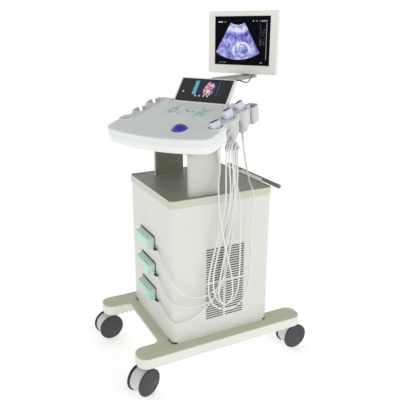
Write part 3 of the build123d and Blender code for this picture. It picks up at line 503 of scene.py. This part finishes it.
def centreline(points, name):
    """Points along the smooth NURBS line of a route, in metres."""
    curve = bpy.data.curves.new(name + "_route", "CURVE")
    curve.dimensions = "3D"
    curve.resolution_u = 8
    spline = curve.splines.new("NURBS")
    spline.points.add(len(points) - 1)
    for item, point in zip(spline.points, points):
        item.co = (*point, 1)
    spline.order_u = 3
    spline.use_endpoint_u = True
    holder = bpy.data.objects.new(name + "_route", curve)
    scene.collection.objects.link(holder)
    bpy.context.view_layer.update()
    line = bpy.data.meshes.new_from_object(holder)
    path = [v.co.copy() for v in line.vertices]
    bpy.data.objects.remove(holder)
    return path


def tube(mesh, path, radius, sides=12):
    """Round tube along points, with a frame carried along without twist."""
    rings = []
    side = None
    for k, point in enumerate(path):
        ahead = path[min(k + 1, len(path) - 1)] - path[max(k - 1, 0)]
        ahead.normalize()
        if side is None:
            side = ahead.orthogonal()
        side = (side - ahead * side.dot(ahead)).normalized()
        up = ahead.cross(side)
        wide = radius(k) if callable(radius) else radius
        rings.append([point + wide * (math.cos(a) * side + math.sin(a) * up)
                      for a in (2 * math.pi * j / sides for j in range(sides))])
    loft(mesh, rings)


def length_of(path):
    return sum((b - a).length for a, b in zip(path, path[1:]))


# ---- cords -----------------------------------------------------------------------------------
# Route points of the cables' smooth lines, in metres: the probe cables from the cabinet's centre,
# the signal lead in the console's own frame.
PROBE_ROUTES = [
    [(-0.2565, -0.073, 0.588), (-0.2565, -0.116, 0.588), (-0.26, -0.17, 0.562),
     (-0.262, -0.219, 0.535), (-0.254, -0.26, 0.5), (-0.226, -0.275, 0.457), (-0.19, -0.277, 0.425),
     (-0.142, -0.277, 0.409), (-0.092, -0.277, 0.408), (-0.047, -0.277, 0.425), (-0.014, -0.277, 0.47),
     (0.008, -0.276, 0.54), (0.019, -0.278, 0.622), (0.029, -0.276, 0.706), (0.039, -0.278, 0.788),
     (0.047, -0.272, 0.866), (0.055, -0.262, 0.94), (0.059, -0.252, 1.008), (0.059, -0.248, 1.079),
     (0.013, -0.276, 1.079), (0.015, -0.281, 1.005), (0.023, -0.294, 0.918), (0.02, -0.304, 0.835),
     (0.006, -0.308, 0.752), (-0.011, -0.307, 0.672), (-0.028, -0.309, 0.592), (-0.044, -0.307, 0.515),
     (-0.053, -0.309, 0.45), (-0.052, -0.307, 0.4), (-0.033, -0.309, 0.364), (-0.004, -0.307, 0.362),
     (0.016, -0.309, 0.394), (0.018, -0.307, 0.45), (0.004, -0.309, 0.522), (-0.014, -0.307, 0.596),
     (-0.031, -0.308, 0.668), (-0.045, -0.306, 0.74), (-0.052, -0.3, 0.812), (-0.048, -0.284, 0.871),
     (-0.035, -0.258, 0.921), (-0.0107, -0.232, 0.962), (-0.0291, -0.2431, 1.0494)],
    [(-0.2565, -0.073, 0.46), (-0.2565, -0.114, 0.46), (-0.26, -0.166, 0.433), (-0.262, -0.214, 0.412),
     (-0.254, -0.256, 0.393), (-0.218, -0.267, 0.377), (-0.172, -0.268, 0.365),
     (-0.124, -0.267, 0.361), (-0.079, -0.269, 0.369), (-0.038, -0.267, 0.395),
     (-0.009, -0.269, 0.452), (0.009, -0.267, 0.527), (0.018, -0.269, 0.608), (0.026, -0.267, 0.692),
     (0.035, -0.268, 0.776), (0.043, -0.264, 0.856), (0.05, -0.254, 0.932), (0.054, -0.244, 1.006),
     (0.054, -0.24, 1.079), (0.008, -0.268, 1.079), (0.005, -0.273, 1.005), (0.007, -0.286, 0.924),
     (0.004, -0.295, 0.842), (-0.013, -0.298, 0.757), (-0.038, -0.297, 0.672), (-0.061, -0.299, 0.588),
     (-0.076, -0.297, 0.508), (-0.074, -0.299, 0.436), (-0.053, -0.297, 0.38), (-0.012, -0.299, 0.353),
     (0.028, -0.297, 0.367), (0.05, -0.299, 0.415), (0.055, -0.297, 0.492), (0.056, -0.299, 0.576),
     (0.055, -0.297, 0.66), (0.053, -0.298, 0.744), (0.054, -0.291, 0.82), (0.06, -0.265, 0.869),
     (0.07, -0.219, 0.896), (0.08, -0.186, 0.941), (0.0775, -0.179, 0.9872), (0.0571, -0.1913, 1.0844)],
    [(-0.2565, -0.073, 0.33), (-0.2565, -0.118, 0.33), (-0.26, -0.168, 0.322), (-0.262, -0.214, 0.308),
     (-0.254, -0.252, 0.297), (-0.22, -0.26, 0.287), (-0.172, -0.259, 0.293), (-0.125, -0.261, 0.315),
     (-0.086, -0.259, 0.342), (-0.053, -0.261, 0.375), (-0.032, -0.259, 0.422),
     (-0.016, -0.261, 0.488), (-0.003, -0.259, 0.562), (0.008, -0.261, 0.642), (0.018, -0.259, 0.725),
     (0.027, -0.26, 0.806), (0.036, -0.257, 0.882), (0.043, -0.247, 0.952), (0.048, -0.236, 1.018),
     (0.049, -0.231, 1.079), (0.003, -0.259, 1.079), (-0.004, -0.265, 1.005), (-0.009, -0.276, 0.925),
     (-0.012, -0.285, 0.844), (-0.028, -0.288, 0.76), (-0.05, -0.287, 0.676), (-0.072, -0.289, 0.594),
     (-0.09, -0.287, 0.512), (-0.096, -0.289, 0.437), (-0.082, -0.287, 0.376), (-0.042, -0.289, 0.335),
     (0.012, -0.287, 0.318), (0.066, -0.289, 0.331), (0.101, -0.287, 0.381), (0.115, -0.289, 0.456),
     (0.119, -0.287, 0.545), (0.119, -0.289, 0.634), (0.118, -0.287, 0.723), (0.12, -0.288, 0.792),
     (0.126, -0.28, 0.846), (0.134, -0.252, 0.872), (0.154, -0.206, 0.868), (0.176, -0.16, 0.876),
     (0.185, -0.128, 0.91), (0.179, -0.119, 0.961), (0.1649, -0.1265, 1.0123),
     (0.1455, -0.1382, 1.1045)],
]
SIGNAL_ROUTE = [
    (0.077, 0.345, 1.289), (0.094, 0.345, 1.289), (0.105, 0.358, 1.283), (0.107, 0.384, 1.277),
    (0.102, 0.42, 1.276), (0.09, 0.456, 1.283), (0.078, 0.49, 1.292), (0.07, 0.524, 1.297),
    (0.065, 0.554, 1.298), (0.064, 0.582, 1.308), (0.066, 0.604, 1.342), (0.03, 0.604, 1.342)]


def cord_piece(name, route, frame_of, diameter, look):
    """Mesh tube along a route, bent between two bodies."""
    path = centreline([frame_of @ Vector(p) for p in route], name)
    mesh = bmesh.new()
    tube(mesh, path, diameter / 2, 14)
    data = bpy.data.meshes.new(name)
    bmesh.ops.recalc_face_normals(mesh, faces=mesh.faces)
    mesh.to_mesh(data)
    mesh.free()
    data.shade_smooth()
    data.materials.append(LOOKS[look])
    made = bpy.data.objects.new(name, data)
    scene.collection.objects.link(made)
    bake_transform(made)
    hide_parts(name.replace("_line", ""))
    print(name, "length", round(length_of(path), 3))
    return made


def ribbed_sleeve(name, centre, toward, body, look, wide, narrow, length, ribs):
    """Tapered strain relief with shallow ribs round a cable; centre and toward in metres."""
    profile = [(wide * 0.55, 0), (wide, 0.4)]
    for k in range(ribs):
        y0 = length * (0.08 + 0.86 * k / ribs)
        y1 = length * (0.08 + 0.86 * (k + 0.55) / ribs)
        r0 = wide + (narrow - wide) * y0 / length
        r1 = wide + (narrow - wide) * y1 / length
        profile += [(r0, y0), (r0 - 0.1, y1), (r1 - 0.75, y1 + 0.25), (r1 - 0.75, y1 + length * 0.3 / ribs)]
    profile += [(narrow, length * 0.96), (narrow - 0.5, length)]
    mesh = bmesh.new()
    lathe(mesh, profile, 28, "Z")
    turn = Vector(toward).to_track_quat("Z", "Y").to_matrix().to_4x4()
    return piece(name, mesh, Matrix.Translation(centre) @ turn, body, look)


for k, route in enumerate(PROBE_ROUTES, 1):
    start = CABINET @ Vector(route[0])
    start.y += 0.002
    ribbed_sleeve(f"plug_sleeve_{k}", start, (0, -1, 0), "root", "black_rubber",
                                 5.4, 4.2, 34, 6)


# ---- probes ----------------------------------------------------------------------------------
def superellipse(long_axis, short_axis, power, shift, w, steps=40):
    """Ring of a probe's section; long side on local y."""
    ring = []
    for k in range(steps):
        a = 2 * math.pi * k / steps
        c, s = math.cos(a), math.sin(a)
        x = math.copysign(abs(c) ** (2 / power), c) * short_axis / 2 + shift
        y = math.copysign(abs(s) ** (2 / power), s) * long_axis / 2
        ring.append((x, y, w))
    return ring


def tube_between(outer, inner):
    """Join the end rings of an outside and an inside skin."""
    return [(outer[k], outer[(k + 1) % len(outer)], inner[(k + 1) % len(inner)], inner[k])
            for k in range(len(outer))]


def probe_frame(index, row):
    """Local frame of a probe standing in its cup; w runs up the handle."""
    return DECK @ place(CUP_U, row, PROBE_RESTS[index - 1], "Z", PROBE_TURNS[index - 1])


def make_probe(index, row):
    """Moulded handle of a probe, with a seam round the head."""
    sections = [(-82, 19.6, 19.6, 2.2, 0), (-70, 24, 22.5, 2.6, 0), (-52, 31, 27, 3.2, 0),
                (-30, 35.5, 27, 3.8, 0), (-10, 39, 27, 4.4, 0), (0, 43, 26.8, 4.8, 0), (11, 46.8, 26.4, 5, 0),
                (13.0, 47, 26.2, 5, 0), (13.4, 46.2, 25.4, 5, 0), (14.2, 46.2, 25.4, 5, 0),
                (14.6, 47.2, 26.0, 5, -0.3), (24, 48.2, 23.6, 5, -2.1), (30, 48.4, 21.8, 5, -3),
                (34.5, 47, 17.2, 4.8, -4.8), (37, 45.4, 13.6, 4.6, -6)]
    mesh = bmesh.new()
    loft(mesh, [superellipse(long_axis, short, power, shift, w)
                for w, long_axis, short, power, shift in sections])
    return piece(f"probe_body_{index}", mesh, probe_frame(index, row), f"probe_{index}",
                 "probe_plastic", node=f"probe_{index}")


def make_relief(index, row):
    """Hollow ribbed strain relief under a probe's handle, in which the cable's end slides."""
    tail = [(-82.5, 7.6)]
    for k in range(9):
        w = -84 - k * 6
        r = 7.5 - 2.1 * (k / 8)
        tail += [(w, r), (w - 3.4, r - 0.15), (w - 3.7, r - 0.9), (w - 5.7, r - 0.95)]
    tail = [superellipse(2 * r, 2 * r, 2, 0, w) for w, r in tail if w > -139]
    tail.append(superellipse(9.8, 9.8, 2, 0, -140))
    bore = [superellipse(7.6, 7.6, 2, 0, w) for w in (-84.5, -110, -140)]
    mesh = bmesh.new()
    skins = loft(mesh, list(reversed(tail)), closed=False)
    mesh.faces.new(skins[-1])
    inner = loft(mesh, bore, closed=False)
    mesh.faces.new(inner[0])
    for quad in tube_between(skins[0], inner[-1]):
        mesh.faces.new(quad)
    return piece(f"probe_relief_{index}", mesh, probe_frame(index, row), f"probe_{index}",
                 "white_cable", node=f"probe_{index}")


def make_lens(index, row):
    """Rounded rubber lens along the far top edge of the head."""
    mesh = bmesh.new()
    rings = [[(x - 6, y, w) for x, y in rounded(9 - 2 * inset, 43 - 2 * inset, 3.4 - inset * 0.7)]
             for w, inset in ((33, 0), (37.4, 0), (38.6, 0.5), (39.3, 1.4), (39.5, 2.6))]
    loft(mesh, rings)
    return piece(f"lens_{index}", mesh, probe_frame(index, row), f"probe_{index}",
                 "navy_rubber", node=f"probe_lens_{index}")


for index, row in enumerate(CUP_ROWS, 1):
    make_probe(index, row)
    make_relief(index, row)
    make_lens(index, row)

PROBE_LENGTHS = (2.636, 2.720, 2.948)
for k, (route, length) in enumerate(zip(PROBE_ROUTES, PROBE_LENGTHS), 1):
    cord_piece(f"probe_cable_{k}_line", route, CABINET, 0.007, "white_cable")
cord_piece("monitor_cable_line", SIGNAL_ROUTE, CONSOLE, 0.006, "grey_cable")


# ---- castor wheels ---------------------------------------------------------------------------
def make_wheels(index):
    """Two smooth tyred discs with a shallow dished face, a ribbed inside and an axle."""
    (i, j), degrees = CASTORS[index]
    centre = CABINET @ place(i * 365, j * 246, 0, "Z", degrees) @ place(35, 0, 62.5)
    mesh = bmesh.new()
    face = [(0, 42.3), (20, 42.2), (40, 41.8), (52, 41.3), (54.4, 41.25), (54.9, 40.8), (55.5, 41.2),
            (58.4, 41.2), (60.4, 40.4), (61.8, 38.9), (62.5, 36.8), (62.5, 33.6), (62.0, 32.2), (60.6, 31.6),
            (48, 31.6), (46, 32.6), (46, 34.5), (14, 34.5), (12, 31.8), (7.5, 31.8), (7.5, 33.5), (0, 33.5)]
    for side in (1, -1):
        lathe(mesh, [(r, y * side) for r, y in face], 72)
    lathe(mesh, [(0, -33), (5.6, -33), (5.6, 33), (0, 33)], 32)
    return piece(f"wheels_{index + 1}_discs", mesh, centre, f"wheels_{index + 1}", "charcoal_tyre",
                 node=f"castor_wheels_{index + 1}")


for index in range(4):
    made = make_wheels(index)
    made.data.set_sharp_from_angle(angle=math.radians(38))


# ---- trackball -------------------------------------------------------------------------------
def make_ball():
    """Polished ball, finely faceted so that its outline is round."""
    mesh = bmesh.new()
    bmesh.ops.create_icosphere(mesh, subdivisions=6, radius=37)
    made = piece("trackball_sphere", mesh, DECK @ place(90, -164, -14), "trackball", "ball_blue",
                 node="trackball")
    return made


make_ball()


# ---- keypad ----------------------------------------------------------------------------------
def key(mesh, u, t, width, depth, height, base=0.8, crown=0.5):
    """Low key cap with rounded corners and a chamfered top."""
    rings = [[(u + x, t + y, base + w)
              for x, y in rounded(width - 2 * inset, depth - 2 * inset, 1.8 - inset * 0.4, 4)]
             for w, inset in ((0, 0), (height - crown, 0), (height - crown * 0.4, 0.25), (height, 0.9))]
    loft(mesh, rings)


def make_keys():
    """Low keys, teal at both sides and pale between, with a few dark ones and a loose group in front."""
    kinds = {"key_teal": bmesh.new(), "key_pale": bmesh.new(), "key_dark": bmesh.new()}
    dark = {(1, 1), (4, 0), (6, 2), (7, 2), (2, 3), (5, 3), (6, 4)}
    for column in range(12):
        for row in range(6):
            u = -84 + column * 15.6 + (12 if column > 6 else 0)
            t = -9 + row * 15.6
            if column == 2 and row in (0, 5) or column == 6 and row in (0, 4) or column == 11 and row == 5:
                continue
            if (column, row) in dark:
                key(kinds["key_dark"], u, t, 9.5, 5, 1.3)
                continue
            kind = "key_teal" if column in (0, 1, 2, 9, 10, 11) and (column + row * 2) % 5 else "key_pale"
            key(kinds[kind], u, t, 12.4, 10.6, 1.5)
    for k, (u, t) in enumerate(((8, -118), (8, -136), (-14, -120), (-36, -120), (-58, -122), (-80, -124))):
        key(kinds["key_pale"], u, t, 13, 8, 1.2, base=0.0)
    for kind, mesh in kinds.items():
        made = piece(f"keys_{kind[4:]}", mesh, DECK, "console", kind)
        made.data.set_sharp_from_angle(angle=math.radians(50))


make_keys()


# ---- monitor lip -----------------------------------------------------------------------------
def frame_ring(mesh, width, height, inner_w, inner_h, middle_z, y_front, y_back, radius):
    """Flat ring round a window with a rounded front edge, in the monitor's frame."""
    spec = [(width, height, radius, y_back), (width, height, radius, y_front + 0.5),
            (width - 1, height - 1, radius - 0.5, y_front), (inner_w + 2, inner_h + 2, 1.2, y_front),
            (inner_w, inner_h, 0.6, y_front + 1.6), (inner_w, inner_h, 0.6, y_back)]
    rings = [[(x, y, middle_z + z) for x, z in rounded(w, h, r, 3)] for w, h, r, y in spec]
    made = loft(mesh, rings, closed=False)
    for k in range(len(made[0])):
        n = (k + 1) % len(made[0])
        mesh.faces.new((made[-1][k], made[-1][n], made[0][n], made[0][k]))


mesh = bmesh.new()
frame_ring(mesh, 321, 245, 313.2, 237.2, 9.5, -0.9, 2.6, 3.5)
piece("monitor_lip", mesh, MONITOR, "monitor", "bezel_plastic", smooth=False)


# ---- floor, lights ---------------------------------------------------------------------------
def make_floor():
    mesh = bmesh.new()
    bmesh.ops.create_grid(mesh, x_segments=8, y_segments=8, size=14)
    data = bpy.data.meshes.new("floor")
    mesh.to_mesh(data)
    mesh.free()
    look = Look("floor_look", (0.93, 0.93, 0.93), 0.6)
    look.mottle(0.5, 0.01)
    look.emit(look.rgb((1, 1, 1)), 0.41)
    data.materials.append(look.done())
    made = bpy.data.objects.new("floor", data)
    scene.collection.objects.link(made)


def area_light(name, spot, target, size, power, colour=(1, 1, 1)):
    light = bpy.data.lights.new(name, "AREA")
    light.shape = "RECTANGLE"
    light.size, light.size_y = size
    light.energy = power
    light.color = colour
    made = bpy.data.objects.new(name, light)
    spot, target = Vector(spot), Vector(target)
    turn = (target - spot).to_track_quat("-Z", "Y")
    made.matrix_world = Matrix.Translation(spot) @ turn.to_matrix().to_4x4()
    scene.collection.objects.link(made)


make_floor()
world = bpy.data.worlds.new("studio")
world.use_nodes = True
tree = world.node_tree
direction = tree.nodes.new("ShaderNodeTexCoord")
split = tree.nodes.new("ShaderNodeSeparateXYZ")
fade = tree.nodes.new("ShaderNodeMapRange")
fade.inputs["From Min"].default_value = 0.12
fade.inputs["From Max"].default_value = 0.9
fade.inputs["To Min"].default_value = 1.0
fade.inputs["To Max"].default_value = 0.46
tree.links.new(direction.outputs["Generated"], split.inputs[0])
tree.links.new(split.outputs["Z"], fade.inputs["Value"])
tree.links.new(fade.outputs["Result"], tree.nodes["Background"].inputs["Strength"])
tree.nodes["Background"].inputs[0].default_value = (1.0, 1.0, 1.0, 1)
scene.world = world
area_light("key", (1.6, -3.6, 2.2), (0, 0, 0.8), (2.4, 2.4), 22)
area_light("fill", (-3.4, -1.6, 1.9), (0, 0, 0.8), (2.4, 2.4), 10)
scene.view_settings.view_transform = "Standard"
scene.view_settings.look = "None"
